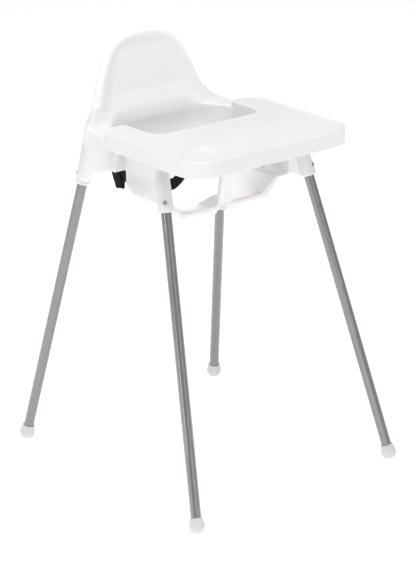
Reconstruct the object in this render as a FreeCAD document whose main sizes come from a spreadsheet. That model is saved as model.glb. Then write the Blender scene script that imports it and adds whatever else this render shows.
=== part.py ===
import FreeCAD, Part

import math
import os

from FreeCAD import Placement, Rotation, Vector

# Baby high chair: a one-piece moulded seat shell on four splayed steel tubes, a lift-off
# tray, a snap button with its clip spring in every leg, and a waist belt with a buckle.
# Frame: millimetres, +Z up, the floor at z = 0, the child faces -Y.

DIMENSIONS = {
    # legs
    "foot_x": 271.0,
    "foot_front_y": -295.0,
    "foot_rear_y": 293.0,
    "mouth_front_x": 192.5,
    "mouth_front_y": -102.0,
    "mouth_front_z": 607.0,
    "mouth_rear_x": 190.7,
    "mouth_rear_y": 176.0,
    "mouth_rear_z": 599.5,
    "tube_radius": 11.0,
    "tube_wall": 1.2,
    "tube_start": 9.0,
    "tube_insertion": 80.0,
    # foot caps
    "cap_radius": 16.5,
    "cap_neck_radius": 13.0,
    "cap_height": 31.0,
    "cap_flat": 3.0,
    # snap buttons and their springs
    "button_rise": 20.0,
    "button_radius": 3.9,
    "button_gap": 0.08,
    "button_flange": 5.6,
    "button_back": 6.4,
    "spring_strip": 0.8,
    "spring_width": 6.0,
    "spring_length": 46.0,
    # seat shell
    "wall": 3.5,
    "rim_z": 718.0,
    "rim_half": 188.0,
    "rim_front": -84.0,
    "rim_rear": 200.0,
    "rim_corner": 47.0,
    "skirt_bottom": 612.0,
    "arch_z": 652.0,
    "column_radius": 16.6,
    "column_top_radius": 12.6,
    "flare_half": 176.0,
    "flare_front": -62.0,
    "flare_rear": 56.0,
    "flare_bottom": 601.0,
    "flare_corner": 34.0,
    "flare_edge": 13.0,
    "saddle_half": 118.0,
    "saddle_front_z": 561.0,
    "post_half": 16.5,
    "post_depth": 12.0,
    "notch_z": 577.0,
    "lean": 12.0,
    "back_y": 174.0,
    "back_top": 894.0,
    "back_depth": 20.0,
    "back_roll": 16.0,
    "wing_radius": 36.0,
    # tray
    "tray_top": 736.0,
    "tray_depth": 34.0,
    "tray_half": 213.0,
    "tray_front": -220.0,
    "tray_arm_end": 96.0,
    "tray_edge_y": -12.0,
    "tray_inner_half": 142.0,
    "tray_wall": 3.0,
    "tray_rim": 9.0,
    "tray_sink": 1.6,
    "cup_radius": 39.0,
    "cup_x": -145.0,
    "cup_y": -156.0,
    "cup_depth": 3.6,
    # waist belt
    "belt_width": 25.0,
    "belt_thick": 1.6,
    "belt_side_x": 164.5,
    "belt_slot_z": 636.0,
    "belt_front_y": -36.0,
    "belt_front_z": 666.0,
    "buckle_half_z": 17.0,
    "buckle_thick": 13.0,
    "socket_length": 44.0,
    "plug_base": 24.0,
    "tongue_reach": 29.0,
}

doc = FreeCAD.newDocument("high_chair")
sheet = doc.addObject("Spreadsheet::Sheet", "sizes")
for row, (alias, value) in enumerate(DIMENSIONS.items(), start=1):
    sheet.set(f"A{row}", alias)
    sheet.set(f"B{row}", str(value))
    sheet.setAlias(f"B{row}", alias)
doc.recompute()

SUBPARTS = []


def size(alias):
    """A driving dimension, read back from the spreadsheet."""
    return float(sheet.get(alias))


def keep(item, label):
    """Name a finished sub-part after the file it is written to."""
    item.Label = label
    SUBPARTS.append(item)
    return item


def primitive(kind, name, placement=None, **lengths):
    """A Part primitive whose lengths are bound to spreadsheet expressions."""
    item = doc.addObject(f"Part::{kind}", name)
    for prop, expression in lengths.items():
        item.setExpression(prop, expression)
    if placement is not None:
        item.Placement = placement
    return item


def at(x=0.0, y=0.0, z=0.0, rotation=None):
    return Placement(Vector(x, y, z), rotation or Rotation())


def cut(name, base, tool, placement=None):
    item = doc.addObject("Part::Cut", name)
    item.Base = base
    item.Tool = tool
    if placement is not None:
        item.Placement = placement
    return item


def fuse(name, items):
    item = doc.addObject("Part::MultiFuse", name)
    item.Shapes = items
    return item


def shape_feature(label, shape):
    """A sub-part whose shape is set by Part's own functions."""
    item = doc.addObject("Part::Feature", label)
    item.Shape = shape
    return keep(item, label)


# ---------------------------------------------------------------- outlines


def corner(before, point, after, radius):
    """Tangent points and mid point of the arc that rounds a corner of an outline."""
    back = (before - point).normalize()
    ahead = (after - point).normalize()
    half = back.getAngle(ahead) / 2
    reach = radius / math.tan(half)
    middle = (back + ahead).normalize()
    centre = point + middle * (radius / math.sin(half))
    return point + back * reach, centre - middle * radius, point + ahead * reach


def outline_edges(points, radii):
    """Lines and arcs of a closed outline with a rounding radius at each point."""
    count = len(points)
    rounds = []
    for i, point in enumerate(points):
        neighbours = points[i - 1], points[(i + 1) % count]
        if radii[i]:
            rounds.append(corner(neighbours[0], point, neighbours[1], radii[i]))
        else:
            rounds.append((point, None, point))
    edges = []
    for i, (start, middle, end) in enumerate(rounds):
        if middle is not None:
            edges.append(Part.Arc(start, middle, end))
        following = rounds[(i + 1) % count][0]
        if (following - end).Length > 1e-6:
            edges.append(Part.LineSegment(end, following))
    return edges


def wire(points, radii):
    return Part.Wire([edge.toShape() for edge in outline_edges(points, radii)])


def rectangle(half, front, rear, z, front_radius, rear_radius, tilt=0.0):
    """A rounded rectangle, level at height z or tilted about the X axis."""
    slope = math.tan(math.radians(tilt))
    corners = [(-half, front), (half, front), (half, rear), (-half, rear)]
    points = [Vector(x, y, z - slope * y) for x, y in corners]
    return wire(points, [front_radius, front_radius, rear_radius, rear_radius])


def prism(points, radii, direction):
    """A closed outline swept along a straight line."""
    return Part.Face(wire(points, radii)).extrude(direction)


def side_prism(profile, radii, half):
    """A (y, z) profile swept across the chair from -half to +half."""
    points = [Vector(-half, y, z) for y, z in profile]
    return prism(points, radii, Vector(2 * half, 0, 0))


def front_prism(profile, radii, front, rear):
    """An (x, z) profile swept from the front to the rear."""
    points = [Vector(x, front, z) for x, z in profile]
    return prism(points, radii, Vector(0, rear - front, 0))


def mirrored(shape):
    """The same shape on the chair's other side."""
    return shape.mirror(Vector(0, 0, 0), Vector(1, 0, 0))


# ---------------------------------------------------------------- leg frames


def leg_frame(side, front):
    """Foot point, leg direction and outward direction of one leg.

    side is -1 or +1 along X; front tells the front pair from the rear pair."""
    end = "front" if front else "rear"
    foot = Vector(side * size("foot_x"), size(f"foot_{end}_y"), 0)
    mouth = Vector(side * size(f"mouth_{end}_x"), size(f"mouth_{end}_y"), size(f"mouth_{end}_z"))
    axis = (mouth - foot).normalize()
    diagonal = Vector(side * 0.62, -0.78 if front else 0.78, 0)
    outward = (diagonal - axis * diagonal.dot(axis)).normalize()
    return foot, mouth, axis, outward


def leg_placement(side, front):
    """Local Z runs up the leg from the floor, local X points at the snap button."""
    foot, _, axis, outward = leg_frame(side, front)
    return Placement(foot, Rotation(outward, axis.cross(outward), axis, "ZXY"))


def mouth_distance(front):
    foot, mouth, _, _ = leg_frame(1, front)
    return (mouth - foot).Length


LEGS = {"fl": (-1, True), "fr": (1, True), "rl": (-1, False), "rr": (1, False)}
SIDEWAYS = Rotation(Vector(0, 1, 0), 90)


def make_leg(tag, side, front):
    """A steel tube, pierced near its top for the snap button."""
    reach = mouth_distance(front)
    bottom = size("tube_start")
    length = f"{reach} + sizes.tube_insertion - sizes.tube_start"
    outer = primitive("Cylinder", f"tube_{tag}", at(z=bottom), Radius="sizes.tube_radius", Height=length)
    inner = primitive(
        "Cylinder",
        f"tube_bore_{tag}",
        at(z=bottom),
        Radius="sizes.tube_radius - sizes.tube_wall",
        Height=length,
    )
    hole = primitive(
        "Cylinder",
        f"tube_hole_{tag}",
        at(z=reach + size("button_rise"), rotation=SIDEWAYS),
        Radius="sizes.button_radius + sizes.button_gap",
        Height="2 * sizes.tube_radius",
    )
    tube = cut(f"tube_open_{tag}", outer, inner)
    keep(cut(f"leg_{tag}", tube, hole, leg_placement(side, front)), f"leg_{tag}")


def revolve_sketch(body, name, profile):
    """A closed profile of (radius, height) pairs on the body's XZ plane."""
    sketch = body.newObject("Sketcher::SketchObject", name)
    plane = next(f for f in body.Origin.OriginFeatures if f.Role == "XZ_Plane")
    sketch.AttachmentSupport = [(plane, "")]
    sketch.MapMode = "FlatFace"
    for edge in profile:
        sketch.addGeometry(edge, False)
    return sketch


def polyline(points):
    """Straight edges between (x, y) pairs, closed."""
    vectors = [Vector(x, y, 0) for x, y in points]
    return [Part.LineSegment(a, b) for a, b in zip(vectors, vectors[1:] + vectors[:1])]


def revolved_body(name, profile, axis_name):
    """A PartDesign body: one revolution about the sketch's vertical or horizontal axis."""
    body = doc.addObject("PartDesign::Body", name)
    sketch = revolve_sketch(body, f"{name}_profile", profile)
    turn = body.newObject("PartDesign::Revolution", f"{name}_turn")
    turn.Profile = sketch
    turn.ReferenceAxis = (sketch, [axis_name])
    turn.Angle = 360.0
    body.Tip = turn
    return body


def make_foot_cap(tag, side, front):
    """A plastic cap: a ball end under a tapering collar, bored for the tube, flat on the floor."""
    radius = size("cap_radius")
    neck = size("cap_neck_radius")
    bore = size("tube_radius") + 0.05
    _, _, axis, _ = leg_frame(side, front)
    centre = (radius - size("cap_flat")) / axis.z
    bottom = size("tube_start")
    top = size("cap_height")
    edges = [
        Part.LineSegment(Vector(0, centre - radius, 0), Vector(0, bottom, 0)),
        Part.LineSegment(Vector(0, bottom, 0), Vector(bore, bottom, 0)),
        Part.LineSegment(Vector(bore, bottom, 0), Vector(bore, top, 0)),
        Part.LineSegment(Vector(bore, top, 0), Vector(neck, top, 0)),
        Part.LineSegment(Vector(neck, top, 0), Vector(radius, centre, 0)),
        Part.Arc(
            Vector(radius, centre, 0),
            Vector(radius * math.sqrt(0.5), centre - radius * math.sqrt(0.5), 0),
            Vector(0, centre - radius, 0),
        ),
    ]
    cap = revolved_body(f"cap_{tag}", edges, "V_Axis")
    cap.Placement = leg_placement(side, front)
    foot = leg_frame(side, front)[0]
    floor = primitive("Box", f"floor_{tag}", at(foot.x - 40, foot.y - 40, -20))
    floor.Length = 80
    floor.Width = 80
    floor.Height = 20
    keep(cut(f"foot_cap_{tag}", cap, floor), f"foot_cap_{tag}")


def button_column_radius():
    """Outer radius of the socket at the height of the button."""
    share = size("button_rise") / 110.0
    return size("column_radius") + share * (size("column_top_radius") - size("column_radius"))


def make_snap_button(tag, side, front):
    """A domed steel button with a flange that bears on the tube's inner wall."""
    radius = size("button_radius")
    flange = size("button_flange")
    back = size("button_back")
    head = button_column_radius() + 0.8
    crown = radius * 0.4
    profile = [
        Part.LineSegment(Vector(0, back, 0), Vector(flange, back, 0)),
        Part.LineSegment(Vector(flange, back, 0), Vector(flange, back + 1.2, 0)),
        Part.LineSegment(Vector(flange, back + 1.2, 0), Vector(radius, back + 1.2, 0)),
        Part.LineSegment(Vector(radius, back + 1.2, 0), Vector(radius, head, 0)),
        Part.Arc(Vector(radius, head, 0), Vector(radius * 0.78, head + 0.8, 0), Vector(crown, head + 1.2, 0)),
        Part.LineSegment(Vector(crown, head + 1.2, 0), Vector(0, head + 1.2, 0)),
        Part.LineSegment(Vector(0, head + 1.2, 0), Vector(0, back, 0)),
    ]
    body = revolved_body(f"snap_button_{tag}", profile, "V_Axis")
    lift = Vector(0, 0, mouth_distance(front) + size("button_rise"))
    body.Placement = leg_placement(side, front) * Placement(lift, SIDEWAYS)
    keep(body, f"snap_button_{tag}")


def make_snap_spring(tag, side, front):
    """A V of spring strip inside the tube: one arm on the tube wall, one behind the button."""
    strip = size("spring_strip")
    drop = size("spring_length")
    front_face = size("button_back") - 0.05
    wall_face = -math.sqrt((size("tube_radius") - size("tube_wall")) ** 2 - 9.0) + 0.05
    bend = (front_face + wall_face) / 2
    profile = [
        (front_face, 5.0),
        (bend + 1.6, -drop),
        (bend - 1.6, -drop),
        (wall_face, 5.0),
        (wall_face + strip, 5.0),
        (bend, -drop + 2.4),
        (front_face - strip, 5.0),
    ]
    body = doc.addObject("PartDesign::Body", f"snap_spring_{tag}")
    sketch = revolve_sketch(body, f"snap_spring_{tag}_profile", polyline(profile))
    pad = body.newObject("PartDesign::Pad", f"snap_spring_{tag}_pad")
    pad.Profile = sketch
    pad.setExpression("Length", "sizes.spring_width")
    pad.Midplane = True
    body.Tip = pad
    lift = Vector(0, 0, mouth_distance(front) + size("button_rise"))
    body.Placement = leg_placement(side, front) * Placement(lift, Rotation())
    keep(body, f"snap_spring_{tag}")


# ---------------------------------------------------------------- seat shell


def splay(axis_index, front):
    """How far the legs lean along X (0) or Y (1), per millimetre of height."""
    _, _, axis, _ = leg_frame(1, front)
    return abs(axis[axis_index] / axis.z)


def socket_reach(axis_index, front, z):
    """Outermost X (0) or Y (1) that a leg socket reaches at height z, as a distance."""
    _, mouth, _, _ = leg_frame(1, front)
    return abs(mouth[axis_index]) - (z - mouth.z) * splay(axis_index, front) + size("column_radius")


def deck_outline(inset, z):
    half = size("rim_half") - inset
    radius = size("rim_corner") - inset
    return rectangle(half, size("rim_front") + inset, size("rim_rear") - inset, z, radius, radius)


def skirt(inset, top):
    """The outer drum of the shell: below the deck its corners close in on the leg sockets."""
    bottom = size("skirt_bottom")
    half = socket_reach(0, False, bottom) - inset
    front = inset - socket_reach(1, True, bottom)
    rear = socket_reach(1, False, bottom) - inset
    radius = size("column_radius") + 1 - inset
    low = rectangle(half, front, rear, bottom, radius, radius)
    return Part.makeLoft([deck_outline(inset, top), low], True, True)


# The bucket's inner sections: height, half width, front, rear, front and rear corner radii,
# and the tilt of the section in degrees.
BUCKET = (
    (718.0, 152.0, -60.0, 174.0, 38.0, 74.0, 0.0),
    (650.0, 139.0, -56.0, 160.0, 38.0, 70.0, 0.5),
    (600.0, 124.0, -52.0, 149.0, 38.0, 64.0, 1.5),
    (568.0, 106.0, -48.0, 136.0, 34.0, 56.0, 2.5),
    (552.0, 84.0, -43.0, 116.0, 28.0, 46.0, 3.0),
)


def bucket(offset):
    """The sitting bucket: offset 0 is its inner face, the wall thickness its outer face."""
    sections = []
    for z, half, front, rear, front_radius, rear_radius, tilt in BUCKET:
        drop = offset if z == BUCKET[-1][0] else 0.0
        sections.append(
            rectangle(
                half + offset,
                front - offset,
                rear + offset,
                z - drop,
                front_radius + offset,
                rear_radius + offset,
                tilt,
            )
        )
    return Part.makeLoft(sections, True, False)


def flare(inset):
    """The wide thigh room beside the leg openings, open to the front and the top."""
    half = size("flare_half") - inset
    rear = size("flare_rear") - inset
    bottom = size("flare_bottom") + inset
    front = size("flare_front") - (80 if inset else 0)
    top = size("rim_z") + (30 if inset else -1)
    profile = [(front, bottom), (rear, bottom), (rear, top), (front, top)]
    room = side_prism(profile, [0, size("flare_corner") - inset, 0, 0], half)
    long_edges = [
        edge
        for edge in room.Edges
        if edge.BoundBox.XLength < 1e-6
        and edge.BoundBox.ZMin < top - 1
        and edge.BoundBox.YMax > front + 1
    ]
    return room.makeFillet(size("flare_edge") - inset, long_edges)


def saddle(inset):
    """The flanks between the seat pan and the thigh room, narrowing to the rear."""
    half = size("saddle_half") - inset
    bottom = size("saddle_front_z") + (inset + 6.5 if inset else 0)
    top = size("flare_bottom") + inset + 4
    front = size("flare_front") + 6 - (70 if inset else 0)
    rear = size("flare_rear") - inset
    reach = half + 41
    front_section = [(-half, bottom), (half, bottom), (reach, top), (-reach, top)]
    narrow = half - 18
    rear_section = [(-narrow, bottom + 5), (narrow, bottom + 5), (reach - 22, top), (22 - reach, top)]
    sections = []
    for y, section in ((front, front_section), (rear, rear_section)):
        points = [Vector(x, y, z) for x, z in section]
        sections.append(wire(points, [26, 26, 0, 0]))
    return Part.makeLoft(sections, True, True)


def column(side, front, radius, top_radius, start, stop):
    """A tapering leg socket, measured along its leg from the mouth."""
    _, mouth, axis, _ = leg_frame(side, front)
    base = mouth + axis * start
    if abs(radius - top_radius) < 1e-6:
        return Part.makeCylinder(radius, stop - start, base, axis)
    return Part.makeCone(radius, top_radius, stop - start, base, axis)


def cheek(side):
    """The web that ties the thigh room to the front leg socket."""
    _, mouth, axis, _ = leg_frame(side, True)
    x = side * (size("flare_half") - size("wall"))
    y = size("flare_front") + 2
    thick = size("wall") * side
    sections = []
    for z in (size("flare_bottom") + 3, size("rim_z") - 8):
        far = mouth + axis * ((z - mouth.z) / axis.z)
        points = [
            Vector(x, y, z),
            Vector(x + thick, y, z),
            Vector(far.x + thick / 2, far.y, z),
            Vector(far.x - thick / 2, far.y, z),
        ]
        sections.append(wire(points, [0, 0, 0, 0]))
    return Part.makeLoft(sections, True, True)


# Half of the backrest's outline: half width and height, from the crown down to the rim.
BACK_OUTLINE = (
    (0.0, 0.0),
    (57.0, -9.0),
    (84.0, -25.0),
    (102.0, -46.0),
    (117.0, -71.0),
    (130.0, -100.0),
    (138.0, -120.0),
    (146.0, -138.0),
    (158.0, -157.0),
    (172.0, -169.0),
    (186.0, -174.0),
)


def back_prism(inset, start, depth, roll):
    """The backrest's outline, moved inwards, swept backwards and rolled over at its front edge."""
    tall = size("back_top") - size("rim_z")
    stretch = 1 / math.cos(math.radians(size("lean")))
    right = [Vector(x, 0, (tall + drop) * stretch) for x, drop in BACK_OUTLINE]
    left = [Vector(-p.x, 0, p.z) for p in reversed(right[1:])]
    arch = left + right
    moved = []
    for i, point in enumerate(arch):
        along = arch[min(i + 1, len(arch) - 1)] - arch[max(i - 1, 0)]
        inward = Vector(along.z, 0, -along.x).normalize()
        moved.append(point + inward * inset)
    curve = Part.BSplineCurve()
    curve.interpolate(moved)
    foot = -16.0
    low_left = Vector(moved[0].x, 0, foot)
    low_right = Vector(moved[-1].x, 0, foot)
    edges = [
        curve.toShape(),
        Part.LineSegment(moved[-1], low_right).toShape(),
        Part.LineSegment(low_right, low_left).toShape(),
        Part.LineSegment(low_left, moved[0]).toShape(),
    ]
    solid = Part.Face(Part.Wire(edges)).extrude(Vector(0, depth, 0))
    if roll:
        crown = [
            edge
            for edge in solid.Edges
            if edge.BoundBox.ZMax > tall * stretch - 30 and edge.BoundBox.YMax < 1e-6
        ]
        solid = solid.makeFillet(roll, crown)
    solid.translate(Vector(0, start, 0))
    lean = Rotation(Vector(1, 0, 0), -size("lean"))
    solid.Placement = Placement(Vector(0, size("back_y"), size("rim_z")), lean) * solid.Placement
    return solid


def deck_prism(inset, rise):
    """The deck's plan outline, raised as a block that leans with the backrest."""
    below = 20
    slope = math.tan(math.radians(size("lean")))
    outline = deck_outline(inset, size("rim_z") - below)
    outline.translate(Vector(0, -below * slope, 0))
    return Part.Face(outline).extrude(Vector(0, slope, 1) * (below + rise))


def mouth_prism(offset):
    """The bucket's mouth, raised as a block that leans with the backrest."""
    below = 12
    slope = math.tan(math.radians(size("lean")))
    half, front, rear, front_radius, rear_radius = BUCKET[0][1:6]
    opening = rectangle(
        half + offset,
        front - offset,
        rear + offset - below * slope - 0.4,
        size("rim_z") - below,
        front_radius + offset,
        rear_radius + offset,
    )
    return Part.Face(opening).extrude(Vector(0, slope, 1) * 100)


def wing(inset):
    """The sweep from the backrest's sides down to the armrest deck."""
    foot = size("rim_z") - inset
    back = size("back_y") + 0.6 + inset
    rise = 33
    top = foot + rise
    crest = back + rise * math.tan(math.radians(size("lean")))
    base = size("rim_z") - 11
    profile = [(60, base), (60, foot), (back, foot), (crest, top), (230, top), (230, base)]
    sweep = side_prism(profile, [0, 0, size("wing_radius") + inset, 0, 0, 0], 260)
    reach = back_prism(inset, -120, 120 + size("back_depth"), 0)
    block = sweep.common(deck_prism(inset, 90)).common(reach)
    return block.cut(mouth_prism(inset))


def make_seat_shell():
    wall = size("wall")
    rim = size("rim_z")
    half = size("rim_half")
    far = 400.0

    # The drum with its deck, opened at the front, and arched between the legs.
    drum = skirt(0, rim).cut(skirt(wall, rim - wall))
    step = size("flare_rear") + wall
    arch = size("arch_z")
    front_gap = side_prism([(-far, 500), (step, 500), (step, rim - 26), (-far, rim - 26)], [0, 0, 14, 0], far)
    arch_profile = [(step - 20, 500), (162, 500), (143, arch - 46), (120, arch - 15), (step - 20, arch + 7)]
    side_arch = side_prism(arch_profile, [0, 0, 12, 24, 0], far)
    rear_arch = front_prism([(-170, 500), (170, 500), (132, arch), (-132, arch)], [0, 0, 30, 30], 150, far)
    drum = drum.cut(front_gap).cut(side_arch).cut(rear_arch)

    # The wall that closes the shoulder beside the thigh room.
    shoulder = Part.makeBox(2 * far, wall, rim - arch, Vector(-far, size("flare_rear"), arch))
    shoulder = shoulder.common(skirt(0, rim))

    # The leg sockets run from their mouths up under the deck.
    reach = {True: (rim - 6 - size("mouth_front_z")), False: (rim - 6 - size("mouth_rear_z"))}
    columns = []
    for side, front in LEGS.values():
        _, _, axis, _ = leg_frame(side, front)
        top = reach[front] / axis.z
        columns.append(column(side, front, size("column_radius"), size("column_top_radius"), 0, top))

    outer = bucket(wall).fuse([flare(0), saddle(0), shoulder, cheek(-1), cheek(1)] + columns)
    outer = outer.fuse(drum)

    # The room for the child, cut right through the front.
    open_front = front_prism(
        [(-size("flare_half") + wall, 607), (size("flare_half") - wall, 607),
         (size("flare_half") - wall, rim - 26), (-size("flare_half") + wall, rim - 26)],
        [0, 0, 12, 12],
        -180,
        -40,
    )
    chamber = flare(wall).common(side_prism([(-60, 560), (200, 560), (200, 760), (-60, 760)], [0] * 4, far))
    inside = bucket(0).fuse([chamber, saddle(wall), open_front])
    top_clear = bucket_mouth()
    shell = outer.cut(inside).cut(top_clear)

    # The crotch post stands on a hollow ridge in the seat pan.
    post = size("post_half")
    notch = size("notch_z")
    front = size("flare_front") + 4
    ridge = side_prism([(front, 562), (front, notch + 20), (-34, notch + 12), (16, 556)], [0, 5, 8, 0], post)
    channel = side_prism([(-90, 520), (-90, notch), (-38, notch - 2), (6, 546)], [0, 0, 8, 0], post - wall)
    depth = size("post_depth")
    sections = []
    for z, y in ((notch + 4, front), (rim - 12, size("rim_front") + 4)):
        front_pair = [Vector(-post, y, z), Vector(post, y, z)]
        rear_pair = [Vector(post, y + depth, z), Vector(-post, y + depth, z)]
        points = front_pair + rear_pair
        sections.append(wire(points, [4, 4, 4, 4]))
    upright = Part.makeLoft(sections, True, True)
    shell = shell.fuse([ridge, upright]).cut(channel)

    # The backrest: a leaning panel with a rolled edge, hollow behind.
    roll = size("back_roll")
    depth = size("back_depth")
    hollow = back_prism(wall, wall, depth, roll - wall).common(deck_prism(wall, 220)).fuse(wing(wall))
    panel = back_prism(0, 0, depth, roll).common(deck_prism(0, 220))
    shell = shell.fuse(panel.cut(hollow).cut(bucket(0)))
    shell = shell.fuse(wing(0).cut(hollow))

    # Bores for the legs and the snap buttons, and the two belt slots.
    for side, front in LEGS.values():
        _, mouth, axis, outward = leg_frame(side, front)
        bore_radius = size("tube_radius") + 0.1
        bore = column(side, front, bore_radius, bore_radius, -5, size("tube_insertion") + 1)
        centre = mouth + axis * size("button_rise")
        hole = Part.makeCylinder(size("button_radius") + size("button_gap"), 40, centre, outward)
        shell = shell.cut(bore).cut(hole)
    for side in (-1, 1):
        width = size("belt_thick") + 2.4
        tall = size("belt_width") + 4
        corner_point = Vector(side * size("belt_side_x") - width / 2, 30, size("belt_slot_z") - tall / 2)
        shell = shell.cut(Part.makeBox(width, 50, tall, corner_point))
    shell_solid = max(shell.removeSplitter().Solids, key=lambda solid: solid.Volume)
    return shape_feature("seat_shell", shell_solid)


def bucket_mouth():
    """Clears the deck above the bucket and the thigh room."""
    rim = size("rim_z")
    front = BUCKET[0][2]
    wide = size("flare_half") - size("wall")
    side_room = rectangle(wide, front, size("flare_rear") - size("wall"), rim - 12, 20, 12)
    side_room = Part.Face(side_room).extrude(Vector(0, 0, 60))
    return mouth_prism(0).fuse(side_room)


# ---------------------------------------------------------------- tray


def tray_outline(inset, arms=True):
    """The tray's plan: a wide front with two arms that reach back over the armrests."""
    half = size("tray_half") - inset
    front = size("tray_front") + inset
    end = size("tray_arm_end") - inset
    inner = size("tray_inner_half") + inset
    edge = size("tray_edge_y") - inset
    points = [
        Vector(-half, front, 0),
        Vector(half, front, 0),
        Vector(half, end, 0),
        Vector(inner, end, 0),
        Vector(inner, edge, 0),
        Vector(-inner, edge, 0),
        Vector(-inner, end, 0),
        Vector(-half, end, 0),
    ]
    radii = [56 - inset, 56 - inset, 44 - inset, 12, 34 + inset, 34 + inset, 12, 44 - inset]
    return outline_edges(points, radii)


def plan_sketch(body, name, edges, height):
    """A sketch on the body's XY plane, raised to a height bound to an expression."""
    sketch = body.newObject("Sketcher::SketchObject", name)
    plane = next(f for f in body.Origin.OriginFeatures if f.Role == "XY_Plane")
    sketch.AttachmentSupport = [(plane, "")]
    sketch.MapMode = "FlatFace"
    sketch.setExpression("AttachmentOffset.Base.z", height)
    for edge in edges:
        sketch.addGeometry(edge, False)
    return sketch


def add_step(body, kind, name, sketch, length, reverse=False):
    step = body.newObject(f"PartDesign::{kind}", name)
    step.Profile = sketch
    step.setExpression("Length", length)
    step.Reversed = reverse
    body.Tip = step
    return step


def make_tray():
    """A moulded tray: a sunk top with a raised rim, a skirt all round and a cup recess."""
    body = doc.addObject("PartDesign::Body", "tray")
    bottom = "sizes.tray_top - sizes.tray_depth"
    block = plan_sketch(body, "tray_plan", tray_outline(0), bottom)
    block = add_step(body, "Pad", "tray_block", block, "sizes.tray_depth")
    doc.recompute()
    top = size("tray_top")
    top_edges = [
        f"Edge{i}"
        for i, edge in enumerate(block.Shape.Edges, start=1)
        if edge.BoundBox.ZMin > top - 1e-3
    ]
    round_over = body.newObject("PartDesign::Fillet", "tray_round_over")
    round_over.Base = (block, top_edges)
    round_over.Radius = 4.0
    body.Tip = round_over
    doc.recompute()
    hollow = plan_sketch(body, "tray_hollow_plan", tray_outline(size("tray_wall")), bottom)
    room = "sizes.tray_depth - sizes.tray_wall - sizes.tray_sink"
    add_step(body, "Pocket", "tray_hollow", hollow, room, True)
    heels = plan_sketch(body, "tray_heel_plan", heel_outlines(), bottom)
    add_step(body, "Pocket", "tray_heels", heels, "sizes.rim_z + 0.1 - sizes.tray_top + sizes.tray_depth", True)
    sink = plan_sketch(body, "tray_sink_plan", tray_outline(size("tray_rim")), "sizes.tray_top")
    add_step(body, "Pocket", "tray_top_sink", sink, "sizes.tray_sink")
    doc.recompute()
    centre = Vector(size("cup_x"), size("cup_y"), 0)
    boss_ring = [Part.Circle(centre, Vector(0, 0, 1), size("cup_radius") + size("tray_wall"))]
    boss = plan_sketch(body, "cup_boss_plan", boss_ring, "sizes.tray_top - sizes.tray_sink - sizes.tray_wall")
    boss_drop = "sizes.cup_depth"
    add_step(body, "Pad", "cup_boss", boss, boss_drop, True)
    cup_ring = [Part.Circle(centre, Vector(0, 0, 1), size("cup_radius"))]
    cup = plan_sketch(body, "cup_plan", cup_ring, "sizes.tray_top - sizes.tray_sink")
    add_step(body, "Pocket", "cup_recess", cup, "sizes.cup_depth")
    rests = plan_sketch(body, "tray_rest_plan", rest_outlines(), "sizes.rim_z + 0.1")
    add_step(body, "Pad", "tray_rests", rests, "sizes.tray_top - sizes.tray_sink - sizes.rim_z - 1.1")
    keep(body, "tray")


def heel_outlines():
    """Where the skirt at the end of each arm stops above the armrest deck."""
    end = size("tray_arm_end")
    edges = []
    for side in (-1, 1):
        near = side * (size("tray_inner_half") + 4)
        far = side * (size("rim_half") + 4.5)
        edges += polyline([(near, end - 12), (far, end - 12), (far, end + 6), (near, end + 6)])
    return edges


def rest_outlines():
    """Four ribs under the arms that stand on the armrest deck."""
    edges = []
    for side in (-1, 1):
        for front, rear in ((-54.0, -24.0), (62.0, 84.0)):
            near = side * (size("flare_half") + 1.5)
            far = side * (size("rim_half") - 1.5)
            edges += polyline([(near, front), (far, front), (far, rear), (near, rear)])
    return edges


# ---------------------------------------------------------------- waist belt


def belt_route(reach):
    """Left half of the belt from its slot to x = -reach: plan points and heights."""
    side = size("belt_side_x")
    front = size("belt_front_y")
    low = size("belt_slot_z")
    high = size("belt_front_z")
    turn = 44.0
    centre = Vector(-side + turn, front + turn, 0)
    route = [Vector(-side, 62, low), Vector(-side, 40, low)]
    for i in range(7):
        angle = math.radians(180 + 15 * i)
        route.append(Vector(centre.x + turn * math.cos(angle), centre.y + turn * math.sin(angle), low))
    route.append(Vector(-108, front, low + 6))
    route.append(Vector(-95, front, low + 17))
    route.append(Vector(-80, front, high - 3))
    route.append(Vector(-60, front, high))
    route.append(Vector(-reach, front, high))
    return route


def ribbon(route, width, thick):
    """Webbing that stands on edge along a route, as a ruled loft of thin sections."""
    sections = []
    for i, point in enumerate(route):
        along = route[min(i + 1, len(route) - 1)] - route[max(i - 1, 0)]
        across = Vector(-along.y, along.x, 0).normalize() * (thick / 2)
        up = Vector(0, 0, width / 2)
        corners = [point - across - up, point + across - up, point + across + up, point - across + up]
        sections.append(wire(corners, [0, 0, 0, 0]))
    return Part.makeLoft(sections, True, True)


def make_belt():
    width = size("belt_width")
    thick = size("belt_thick")
    plug_end = size("plug_base") + 4.8
    shape_feature("belt_left", ribbon(belt_route(plug_end), width, thick))
    right = ribbon(belt_route(size("socket_length") - 3.9), width, thick)
    shape_feature("belt_right", mirrored(right))
    for label, side in (("belt_loop_left", -1), ("belt_loop_right", 1)):
        x = size("belt_side_x") - 3.0
        low = size("belt_slot_z")
        profile = [(64, low + 12), (70, low - 24), (93, low - 33), (113, low - 11), (112, low + 12)]
        points = [Vector(-x, y, z) for y, z in profile]
        loop = prism(points, [3, 5, 5, 3, 3], Vector(-6, 0, 0))
        shape_feature(label, loop if side < 0 else mirrored(loop))


def buckle_box(name, x, length, half_thick, half_tall):
    """A box about the buckle's centre line; lengths are spreadsheet expressions."""
    box = primitive("Box", name, Length=length, Width=f"2 * ({half_thick})", Height=f"2 * ({half_tall})")
    box.setExpression("Placement.Base.x", x)
    box.setExpression("Placement.Base.y", f"sizes.belt_front_y - ({half_thick})")
    box.setExpression("Placement.Base.z", f"sizes.belt_front_z - ({half_tall})")
    return box


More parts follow.
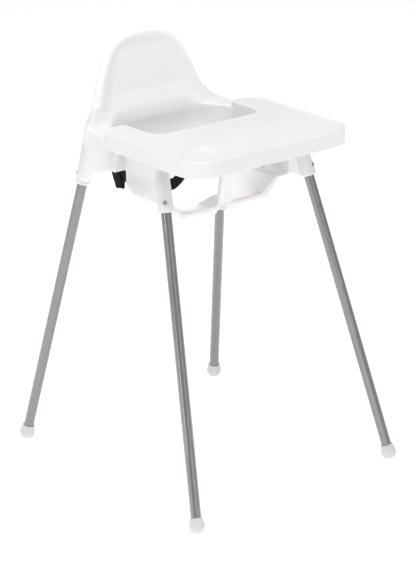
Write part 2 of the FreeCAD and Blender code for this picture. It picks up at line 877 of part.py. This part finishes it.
def rounded(name, base, radius):
    """Round every long edge of a box-shaped part."""
    doc.recompute()
    item = doc.addObject("Part::Fillet", name)
    item.Base = base
    item.Edges = [(i + 1, radius, radius) for i in range(len(base.Shape.Edges))]
    return item


def make_buckle():
    """A side-release buckle: the plug's tongue and prongs slide into the socket."""
    tall = "sizes.buckle_half_z"
    case = buckle_box("socket_case", "-4", "sizes.socket_length", "sizes.buckle_thick / 2", tall)
    case = rounded("socket_rounded", case, 3.0)
    cavity = buckle_box("socket_cavity", "-10", "sizes.tongue_reach + 12", "3.4", "sizes.buckle_half_z - 5")
    window = buckle_box("socket_window", "9", "14", "3.4", "sizes.buckle_half_z + 5")
    hollow = fuse("socket_hollow", [cavity, window])
    keep(cut("buckle_socket", case, hollow), "buckle_socket")

    reach = "sizes.tongue_reach + 0.5"
    grip_tall = "sizes.buckle_half_z - 2"
    base = buckle_box("plug_case", "-sizes.plug_base - 4.5", "sizes.plug_base", "5.5", grip_tall)
    base = rounded("plug_rounded", base, 2.4)
    tongue = buckle_box("plug_tongue", "-6", reach, "2.6", "sizes.buckle_half_z - 6")
    gap = buckle_box("plug_gap", "-1", "sizes.tongue_reach + 5", "5", "sizes.buckle_half_z - 10.5")
    centre = buckle_box("plug_centre", "-6", "sizes.tongue_reach - 4", "2.6", "3")
    fork = cut("plug_fork", tongue, gap)
    keep(fuse("buckle_plug", [base, fork, centre]), "buckle_plug")


# ---------------------------------------------------------------- build and write

make_seat_shell()
make_tray()
for leg_tag, (leg_side, is_front) in LEGS.items():
    make_leg(leg_tag, leg_side, is_front)
    make_foot_cap(leg_tag, leg_side, is_front)
    make_snap_button(leg_tag, leg_side, is_front)
    make_snap_spring(leg_tag, leg_side, is_front)
make_belt()
make_buckle()
doc.recompute()

for item in doc.Objects:
    if {"Invalid", "Error"} & set(item.State):
        raise RuntimeError(f"{item.Label} failed: {item.State}")
for item in SUBPARTS:
    if item.Shape.isNull() or not item.Shape.isValid():
        raise RuntimeError(f"{item.Label} has no valid shape")

os.makedirs("parts", exist_ok=True)
for item in SUBPARTS:
    item.Shape.exportStep(f"parts/{item.Label}.step")
    box = item.Shape.BoundBox
    print(item.Label, len(item.Shape.Solids), round(item.Shape.Volume), box)
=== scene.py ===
import math

import bmesh
import bpy
from mathutils import Matrix, Vector

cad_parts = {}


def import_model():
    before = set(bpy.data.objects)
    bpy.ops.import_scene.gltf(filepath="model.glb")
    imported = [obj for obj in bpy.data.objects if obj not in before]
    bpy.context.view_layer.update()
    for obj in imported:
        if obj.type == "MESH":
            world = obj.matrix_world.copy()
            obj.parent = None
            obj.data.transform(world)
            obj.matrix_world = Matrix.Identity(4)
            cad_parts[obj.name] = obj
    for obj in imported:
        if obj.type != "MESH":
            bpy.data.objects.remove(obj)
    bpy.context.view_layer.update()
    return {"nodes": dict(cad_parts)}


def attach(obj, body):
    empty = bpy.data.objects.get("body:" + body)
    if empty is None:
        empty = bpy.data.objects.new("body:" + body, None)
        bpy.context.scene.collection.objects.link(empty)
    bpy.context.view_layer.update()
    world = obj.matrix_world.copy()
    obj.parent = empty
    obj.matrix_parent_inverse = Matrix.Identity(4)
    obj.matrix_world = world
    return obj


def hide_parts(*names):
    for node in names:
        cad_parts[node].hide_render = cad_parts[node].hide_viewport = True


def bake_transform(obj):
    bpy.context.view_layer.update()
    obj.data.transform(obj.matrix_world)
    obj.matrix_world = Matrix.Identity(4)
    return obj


# Baby high chair in metres, +Z up, the child faces -Y. The CAD nodes carry every size; this
# script softens the two mouldings, weaves the belt and finishes every surface.

MM = 0.001
LEG_TAGS = ("fl", "fr", "rl", "rr")

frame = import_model()
NODES = frame["nodes"]


# ---------------------------------------------------------------- node helpers


class Graph:
    """A material's node tree, with short calls for the nodes that the finishes use."""

    def __init__(self, name):
        self.material = bpy.data.materials.new(name)
        self.material.use_nodes = True
        self.tree = self.material.node_tree
        self.tree.nodes.clear()
        self.shader = self.tree.nodes.new("ShaderNodeBsdfPrincipled")
        output = self.tree.nodes.new("ShaderNodeOutputMaterial")
        self.link(self.shader.outputs["BSDF"], output.inputs["Surface"])
        self.place = self.tree.nodes.new("ShaderNodeTexCoord")

    def link(self, source, target):
        self.tree.links.new(source, target)

    def constants(self, **values):
        for name, value in values.items():
            self.shader.inputs[name.replace("_", " ")].default_value = value

    def noise(self, scale, detail=3.0, roughness=0.5, stretch=None):
        node = self.tree.nodes.new("ShaderNodeTexNoise")
        node.inputs["Scale"].default_value = scale
        node.inputs["Detail"].default_value = detail
        node.inputs["Roughness"].default_value = roughness
        source = self.place.outputs["Object"]
        if stretch:
            mapping = self.tree.nodes.new("ShaderNodeMapping")
            mapping.inputs["Scale"].default_value = stretch
            self.link(source, mapping.inputs["Vector"])
            source = mapping.outputs["Vector"]
        self.link(source, node.inputs["Vector"])
        return node.outputs["Fac"]

    def ramp(self, source, stops):
        node = self.tree.nodes.new("ShaderNodeValToRGB")
        elements = node.color_ramp.elements
        while len(elements) < len(stops):
            elements.new(0.5)
        for element, (position, colour) in zip(elements, stops):
            element.position = position
            element.color = (*colour, 1.0)
        self.link(source, node.inputs["Fac"])
        return node.outputs["Color"]

    def spread(self, source, low, high):
        """Map 0..1 to low..high."""
        node = self.tree.nodes.new("ShaderNodeMapRange")
        node.inputs["To Min"].default_value = low
        node.inputs["To Max"].default_value = high
        self.link(source, node.inputs["Value"])
        return node.outputs["Result"]

    def math(self, operation, first, second=None):
        node = self.tree.nodes.new("ShaderNodeMath")
        node.operation = operation
        for socket, value in zip(node.inputs, (first, second)):
            if value is None:
                continue
            if isinstance(value, (int, float)):
                socket.default_value = value
            else:
                self.link(value, socket)
        return node.outputs["Value"]

    def colour(self, source):
        self.link(source, self.shader.inputs["Base Color"])

    def roughness(self, source):
        self.link(source, self.shader.inputs["Roughness"])

    def bump(self, *layers):
        """Each layer is (height source, depth in metres, strength)."""
        normal = None
        for height, distance, strength in layers:
            node = self.tree.nodes.new("ShaderNodeBump")
            node.inputs["Distance"].default_value = distance
            node.inputs["Strength"].default_value = strength
            self.link(height, node.inputs["Height"])
            if normal:
                self.link(normal, node.inputs["Normal"])
            normal = node.outputs["Normal"]
        self.link(normal, self.shader.inputs["Normal"])


def tint(colour, factor):
    return tuple(min(1.0, channel * factor) for channel in colour)


# ---------------------------------------------------------------- finishes


def moulded_plastic(name, colour, gloss, grain, scatter):
    """Polypropylene: milky, with faint flow marks and the spark-eroded grain of the tool."""
    g = Graph(name)
    cloud = g.noise(9.0, 4.0)
    g.colour(g.ramp(cloud, [(0.3, tint(colour, 0.985)), (0.7, tint(colour, 1.01))]))
    g.roughness(g.spread(g.noise(26.0, 4.0, 0.6), gloss - 0.05, gloss + 0.06))
    g.constants(IOR=1.49, Subsurface_Weight=scatter, Subsurface_Scale=0.012)
    g.shader.inputs["Subsurface Radius"].default_value = (1.0, 0.92, 0.85)
    g.bump((g.noise(1500.0, 2.0), 0.00003, grain))
    return g.material


def powder_coat(name, colour):
    """Baked powder paint on steel tube: orange peel, faint sparkle, a satin coat."""
    g = Graph(name)
    peel = g.noise(950.0, 2.0)
    fleck = g.noise(5200.0, 1.0)
    dust = g.noise(24.0, 5.0, 0.65)
    mixed = g.math("ADD", g.math("MULTIPLY", fleck, 0.35), g.math("MULTIPLY", dust, 0.65))
    g.colour(g.ramp(mixed, [(0.32, tint(colour, 0.9)), (0.68, tint(colour, 1.12))]))
    g.roughness(g.spread(dust, 0.22, 0.3))
    g.constants(Metallic=0.45, IOR=1.5, Coat_Weight=1.0, Coat_IOR=2.1, Coat_Roughness=0.06)
    g.bump((peel, 0.00006, 0.35), (fleck, 0.00002, 0.2))
    return g.material


def brushed_steel(name, colour, streaks):
    """Zinc-bright steel with fine drawing lines and a little dulling."""
    g = Graph(name)
    lines = g.noise(420.0, 3.0, 0.6, streaks)
    dull = g.noise(160.0, 4.0)
    g.colour(g.ramp(dull, [(0.3, tint(colour, 0.82)), (0.7, tint(colour, 1.1))]))
    g.roughness(g.spread(lines, 0.24, 0.42))
    g.constants(Metallic=1.0)
    g.bump((lines, 0.00003, 0.3))
    return g.material


WEAVE_COLUMN = 4.2 * MM
WEAVE_RIB = 1.6 * MM
WEAVE_SLANT = 3.4


def webbing(name, colour):
    """Polypropylene webbing: ribs across the strap, slanting to and fro in columns along it."""
    g = Graph(name)
    split = g.tree.nodes.new("ShaderNodeSeparateXYZ")
    g.link(g.place.outputs["UV"], split.inputs["Vector"])
    along, across = split.outputs["X"], split.outputs["Y"]
    column = g.math("PINGPONG", g.math("MULTIPLY", across, 1.0 / WEAVE_COLUMN), 1.0)
    turns = g.math("MULTIPLY", along, 2 * math.pi / WEAVE_RIB)
    slant = g.math("ADD", turns, g.math("MULTIPLY", column, WEAVE_SLANT))
    rib = g.math("MULTIPLY", g.math("ADD", g.math("SINE", slant), 1.0), 0.5)
    fuzz = g.noise(2600.0, 3.0, 0.7)
    height = g.math("ADD", g.math("MULTIPLY", rib, 0.75), g.math("MULTIPLY", fuzz, 0.25))
    # The ribs' colour is painted light: darker in the troughs as painted shade and lighter on the
    # crests as a painted highlight. The fibre fuzz adds the yarn's own random tone.
    g.colour(g.ramp(height, [(0.1, tint(colour, 0.45)), (0.9, tint(colour, 2.1))]))
    g.roughness(g.spread(fuzz, 0.62, 0.86))
    g.constants(Sheen_Weight=0.04, Sheen_Roughness=0.4, IOR=1.45, Specular_IOR_Level=0.2)
    g.bump((height, 0.00035, 0.8))
    return g.material


def buckle_plastic(name, colour):
    """Black acetal: fine-grained, with worn lighter specks."""
    g = Graph(name)
    scuff = g.noise(240.0, 5.0, 0.7)
    g.colour(g.ramp(scuff, [(0.45, colour), (0.78, tint(colour, 2.6))]))
    g.roughness(g.spread(scuff, 0.34, 0.52))
    g.constants(IOR=1.48)
    g.bump((g.noise(2200.0, 2.0), 0.00004, 0.35))
    return g.material


WHITE_SHELL = moulded_plastic("white_shell_pp", (0.885, 0.869, 0.873), 0.4, 0.16, 0.9)
# The tray's white is a little bluer than the shell's. It is also set darker, as painted shade for the
# tray's sides, and the key lamp above keeps its top bright.
WHITE_TRAY = moulded_plastic("white_tray_pp", (0.835, 0.843, 0.852), 0.36, 0.06, 0.25)
WHITE_CAP = moulded_plastic("white_cap_pp", (0.7, 0.695, 0.71), 0.42, 0.3, 0.15)
GREY_TUBE = powder_coat("grey_powder_coat", (0.16, 0.172, 0.18))
STEEL_BUTTON = brushed_steel("button_steel", (0.42, 0.42, 0.44), (1.0, 1.0, 9.0))
SPRING_STEEL = brushed_steel("spring_strip_steel", (0.46, 0.46, 0.48), (12.0, 12.0, 1.0))
WEBBING = webbing("black_webbing_weave", (0.0062, 0.0064, 0.0066))
BUCKLE = buckle_plastic("black_buckle_acetal", (0.014, 0.014, 0.015))

FINISHES = {"buckle_socket": BUCKLE, "buckle_plug": BUCKLE}
for tag in LEG_TAGS:
    FINISHES[f"leg_{tag}"] = GREY_TUBE
    FINISHES[f"foot_cap_{tag}"] = WHITE_CAP
    FINISHES[f"snap_button_{tag}"] = STEEL_BUTTON
    FINISHES[f"snap_spring_{tag}"] = SPRING_STEEL


def paint(obj, material):
    """Give every face of an object one material."""
    obj.data.materials.clear()
    obj.data.materials.append(material)


for node_name, finish in FINISHES.items():
    paint(NODES[node_name], finish)


# ---------------------------------------------------------------- mouldings


def modifier_applied(obj, kind, name, **settings):
    """Add a modifier, bake it into the mesh and drop it."""
    modifier = obj.modifiers.new(name, kind)
    for key, value in settings.items():
        setattr(modifier, key, value)
    graph = bpy.context.evaluated_depsgraph_get()
    graph.update()
    mesh = bpy.data.meshes.new_from_object(obj.evaluated_get(graph))
    obj.modifiers.clear()
    old = obj.data
    obj.data = mesh
    bpy.data.meshes.remove(old)


def copy_of(node, name):
    obj = bpy.data.objects.new(name, NODES[node].data.copy())
    bpy.context.scene.collection.objects.link(obj)
    return obj


# Where the back grows out of the bucket, and round the cup recess, the moulding has no crease.
FLOWING = (((-0.135, 0.14, 0.69), (0.135, 0.21, 0.75), 60),)
CUP_EDGE = (((-0.2, -0.21, 0.7), (-0.09, -0.1, 0.77), 14),)


def flow_together(obj, low, high, passes):
    """Smooth the surface inside a box, fading out towards the box's top and bottom."""
    group = obj.vertex_groups.new(name="flow")
    height = high[2] - low[2]
    for vertex in obj.data.vertices:
        if all(a < c < b for a, c, b in zip(low, vertex.co, high)):
            share = (vertex.co.z - low[2]) / height
            group.add([vertex.index], soft_step(4 * share) * soft_step(4 * (1 - share)), "REPLACE")
    modifier_applied(obj, "SMOOTH", "flow", factor=0.5, iterations=passes, vertex_group="flow")
    obj.vertex_groups.clear()


def softened(node, voxel, passes, share, material, body, shape=None, flowing=()):
    """A moulding's CAD solid with every edge and inside corner blended, as it comes from the tool."""
    obj = copy_of(node, f"{node}_moulded")
    bm = bmesh.new()
    bm.from_mesh(obj.data)
    bmesh.ops.remove_doubles(bm, verts=bm.verts, dist=1e-6)
    bm.to_mesh(obj.data)
    bm.free()
    modifier_applied(obj, "REMESH", "skin", mode="VOXEL", voxel_size=voxel)
    modifier_applied(obj, "SMOOTH", "blend", factor=0.5, iterations=passes)
    for low, high, rounds in flowing:
        flow_together(obj, low, high, rounds)
    if shape:
        for vertex in obj.data.vertices:
            vertex.co = shape(vertex.co)
    modifier_applied(obj, "DECIMATE", "thin", ratio=share)
    obj.data.shade_smooth()
    paint(obj, material)
    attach(obj, body)
    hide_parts(node)


# The backrest: half widths of its outline at heights below the crown, and its hollow face.
BACK_CROWN_Z = 0.894
BACK_OUTLINE = (
    (0.0, 0.0),
    (0.009, 0.057),
    (0.025, 0.084),
    (0.046, 0.102),
    (0.071, 0.117),
    (0.1, 0.13),
    (0.176, 0.15),
)
BACK_FADE = (0.715, 0.775)
BACK_PLANE_Y = 0.155
DISH_BORDER = 0.042
DISH_DEPTH = 0.0095


def soft_step(value):
    t = min(1.0, max(0.0, value))
    return t * t * (3 - 2 * t)


def back_half_width(drop):
    for (above, wide), (below, wider) in zip(BACK_OUTLINE, BACK_OUTLINE[1:]):
        if above <= drop <= below:
            return wide + (wider - wide) * (drop - above) / (below - above)
    return BACK_OUTLINE[-1][1]


def dished(point):
    """The backrest's face is hollow inside a soft border that follows its outline."""
    low, high = BACK_FADE
    if point.z < low or point.y < BACK_PLANE_Y:
        return point
    drop = BACK_CROWN_Z - point.z
    inside = back_half_width(drop) - abs(point.x)
    depth = DISH_DEPTH * soft_step(inside / DISH_BORDER) * soft_step(drop / DISH_BORDER)
    depth *= soft_step((point.z - low) / (high - low))
    return Vector((point.x, point.y + depth, point.z))


softened("seat_shell", 1.5 * MM, 5, 0.4, WHITE_SHELL, "chair", dished, FLOWING)
softened("tray", 1.2 * MM, 6, 0.35, WHITE_TRAY, "tray", flowing=CUP_EDGE)


# ---------------------------------------------------------------- waist belt

BELT_WIDTH = 25 * MM
BELT_THICK = 1.5 * MM
BELT_SIDE_X = 164.5 * MM
BELT_SLOT_Z = 636 * MM
BELT_FRONT_Y = -36 * MM
BELT_FRONT_Z = 666 * MM
BELT_TURN = 44 * MM
# Distances from the middle, and how far above its slot the belt has climbed there.
BELT_CLIMB = ((0.108, 0.006), (0.095, 0.017), (0.080, 0.027), (0.060, 0.030))


def belt_route(reach):
    """Centre line of the left strap from its slot to x = -reach."""
    centre_x = -BELT_SIDE_X + BELT_TURN
    centre_y = BELT_FRONT_Y + BELT_TURN
    route = [Vector((-BELT_SIDE_X, y, BELT_SLOT_Z)) for y in (0.068, 0.040)]
    for degrees in range(180, 285, 15):
        angle = math.radians(degrees)
        x = centre_x + BELT_TURN * math.cos(angle)
        y = centre_y + BELT_TURN * math.sin(angle)
        route.append(Vector((x, y, BELT_SLOT_Z)))
    for x, rise in (*BELT_CLIMB, (reach, BELT_FRONT_Z - BELT_SLOT_Z)):
        route.append(Vector((-x, BELT_FRONT_Y, BELT_SLOT_Z + rise)))
    return route


CURVE_POINTS = 24


def smooth_line(points, step):
    """Points at an even spacing along a Catmull-Rom curve through the given ones."""
    dense = []
    for i in range(len(points) - 1):
        before = points[max(i - 1, 0)]
        start, end = points[i], points[i + 1]
        after = points[min(i + 2, len(points) - 1)]
        for k in range(CURVE_POINTS):
            t = k / CURVE_POINTS
            square = 2 * before - 5 * start + 4 * end - after
            cube = 3 * start - before - 3 * end + after
            dense.append(0.5 * (2 * start + (end - before) * t + square * t**2 + cube * t**3))
    dense.append(points[-1])
    even = [dense[0]]
    walked = 0.0
    for last, here in zip(dense, dense[1:]):
        walked += (here - last).length
        if walked >= step:
            even.append(here)
            walked = 0.0
    even[-1] = dense[-1]
    return even


STRAP_SPANS = 12
SELVEDGE_POWER = 10
SELVEDGE_SHARE = 0.18


def strap(name, line, sides):
    """Webbing swept along a line: rounded selvedges, UVs in metres."""
    profile = []
    for i in range(STRAP_SPANS + 1):
        s = -1 + 2 * i / STRAP_SPANS
        edge = math.sqrt(max(0.0, 1 - abs(s) ** SELVEDGE_POWER))
        profile.append((s * BELT_WIDTH / 2, BELT_THICK / 2 * max(edge, SELVEDGE_SHARE)))
    bm = bmesh.new()
    uv = bm.loops.layers.uv.new("strap")
    rings = []
    walked = 0.0
    for i, point in enumerate(line):
        along = (line[min(i + 1, len(line) - 1)] - line[max(i - 1, 0)]).normalized()
        side = sides(i / (len(line) - 1)).normalized()
        side = (side - along * side.dot(along)).normalized()
        normal = along.cross(side)
        if i:
            walked += (point - line[i - 1]).length
        ring = [bm.verts.new(point + side * s + normal * t) for s, t in profile]
        ring += [bm.verts.new(point + side * s - normal * t) for s, t in reversed(profile)]
        rings.append((walked, ring))
    count = len(profile)
    widths = [s for s, _ in profile] + [s for s, _ in reversed(profile)]
    for (u0, ring0), (u1, ring1) in zip(rings, rings[1:]):
        for k in range(2 * count):
            n = (k + 1) % (2 * count)
            face = bm.faces.new((ring0[k], ring0[n], ring1[n], ring1[k]))
            spots = ((u0, widths[k]), (u0, widths[n]), (u1, widths[n]), (u1, widths[k]))
            for loop, spot in zip(face.loops, spots):
                loop[uv].uv = spot
            face.smooth = True
    bm.faces.new(list(reversed(rings[0][1])))
    bm.faces.new(rings[-1][1])
    bmesh.ops.recalc_face_normals(bm, faces=bm.faces)
    mesh = bpy.data.meshes.new(name)
    bm.to_mesh(mesh)
    bm.free()
    obj = bpy.data.objects.new(name, mesh)
    bpy.context.scene.collection.objects.link(obj)
    paint(obj, WEBBING)
    return obj


def flipped(points):
    return [Vector((-p.x, p.y, p.z)) for p in points]


def upright(_):
    return Vector((0, 0, 1))


PLUG_END = 28.8 * MM
SOCKET_END = 40.1 * MM
BELT_STEP = 2.0 * MM
left_line = smooth_line(belt_route(PLUG_END), BELT_STEP)
right_line = flipped(smooth_line(belt_route(SOCKET_END), BELT_STEP))
belt_left = strap("belt_left_webbing", left_line, upright)
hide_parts("belt_left")
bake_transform(belt_left)
belt_right = strap("belt_right_webbing", right_line, upright)
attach(belt_right, "chair")
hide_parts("belt_right")


# ---------------------------------------------------------------- outside loops of the belt

LOOP_X = BELT_SIDE_X
LOOP_FOLD = Vector((0, 0.0815, 0.6065))
LOOP_FRONT = Vector((0, 0.0775, 0.6475))
LOOP_REAR = Vector((0, 0.1000, 0.6440))
LOOP_GAP = 1.3 * MM
LOOP_LIFT = 2.0 * MM
LOOP_LAP = 0.8 * MM
LOOP_SPANS = 4
LOOP_STEP = 1.0 * MM


def loop_line(side):
    """The tail comes down from the slot, folds at the bottom and goes back up behind itself."""
    inner, outer = side * (LOOP_X - LOOP_GAP), side * (LOOP_X + LOOP_GAP)
    points = []
    for i in range(LOOP_SPANS + 1):
        point = LOOP_FRONT.lerp(LOOP_FOLD, i / LOOP_SPANS)
        points.append(Vector((inner, point.y, point.z + LOOP_LIFT)))
    points.append(Vector((side * LOOP_X, LOOP_FOLD.y, LOOP_FOLD.z)))
    for i in range(LOOP_SPANS + 1):
        point = LOOP_FOLD.lerp(LOOP_REAR, i / LOOP_SPANS)
        points.append(Vector((outer, point.y + LOOP_LAP, point.z + LOOP_LIFT)))
    return smooth_line(points, LOOP_STEP)


def loop_side(share):
    """The strap's width turns with it, from square to the front run to square to the rear run."""
    front = (LOOP_FRONT - LOOP_FOLD).cross(Vector((1, 0, 0)))
    rear = (LOOP_REAR - LOOP_FOLD).cross(Vector((1, 0, 0)))
    return front.normalized().lerp(rear.normalized(), soft_step((share - 0.4) / 0.2))


for side, word in ((-1, "left"), (1, "right")):
    loop = strap(f"belt_loop_{word}_webbing", loop_line(side), loop_side)
    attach(loop, "chair")
    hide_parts(f"belt_loop_{word}")


# ---------------------------------------------------------------- floor, light and camera


FLOOR_HALF = 12.0
FLOOR_GLOW = 0.4


def floor():
    mesh = bpy.data.meshes.new("floor")
    turns = ((-1, -1), (1, -1), (1, 1), (-1, 1))
    corners = [(x * FLOOR_HALF, y * FLOOR_HALF, 0) for x, y in turns]
    mesh.from_pydata(corners, [], [(0, 1, 2, 3)])
    obj = bpy.data.objects.new("floor", mesh)
    bpy.context.scene.collection.objects.link(obj)
    g = Graph("studio_floor")
    g.colour(g.ramp(g.noise(1.5, 2.0), [(0.3, (0.975, 0.975, 0.975)), (0.7, (0.985, 0.985, 0.985))]))
    g.constants(Roughness=0.9, Emission_Color=(1.0, 1.0, 1.0, 1.0), Emission_Strength=FLOOR_GLOW)
    paint(obj, g.material)


def soft_box(name, place, target, width, height, power):
    light = bpy.data.lights.new(name, "AREA")
    light.shape = "RECTANGLE"
    light.size = width
    light.size_y = height
    light.energy = power
    obj = bpy.data.objects.new(name, light)
    bpy.context.scene.collection.objects.link(obj)
    obj.location = place
    obj.rotation_mode = "QUATERNION"
    obj.rotation_quaternion = (Vector(target) - Vector(place)).to_track_quat("-Z", "Y")


def world(strength):
    bpy.context.scene.world = bpy.data.worlds.new("studio")
    bpy.context.scene.world.use_nodes = True
    background = bpy.context.scene.world.node_tree.nodes["Background"]
    background.inputs["Color"].default_value = (1.0, 1.0, 1.0, 1.0)
    background.inputs["Strength"].default_value = strength


CAMERA_PLACE = Vector((-2.6125, -3.0858, 1.9201))
CAMERA_TARGET = Vector((0.00202, -0.00173, 0.3860))
CAMERA_ROLL = math.radians(0.25)
CAMERA_LENS = 131.1


def camera():
    data = bpy.data.cameras.new("camera")
    data.lens = CAMERA_LENS
    data.sensor_width = 36.0
    obj = bpy.data.objects.new("camera", data)
    bpy.context.scene.collection.objects.link(obj)
    turn = (CAMERA_TARGET - CAMERA_PLACE).to_track_quat("-Z", "Y").to_matrix().to_4x4()
    obj.matrix_world = Matrix.Translation(CAMERA_PLACE) @ turn @ Matrix.Rotation(CAMERA_ROLL, 4, "Z")
    bpy.context.scene.camera = obj


# Name, place, target, width, height and watts. The strips draw the light lines on the tubes.
LIGHTS = (
    ("key", (-0.5, -0.3, 3.6), (0, 0, 0.6), 2.4, 2.4, 58),
    ("front_strip", (-0.1, -3.0, 1.1), (0, 0, 0.9), 0.09, 1.4, 3.6),
    ("side_strip", (-2.95, -0.5, 0.9), (0, 0, 0.8), 0.12, 1.4, 7),
    ("lift", (-0.5, -1.3, 0.15), (0, 0, 0.62), 0.5, 0.5, 0.4),
    ("inner", (0, 0.03, 0.7), (0, 0.03, 0.5), 0.2, 0.16, 0.035),
)
WORLD_STRENGTH = 0.53

floor()
for light in LIGHTS:
    soft_box(*light)
world(WORLD_STRENGTH)
camera()
bpy.context.scene.view_settings.view_transform = "Standard"
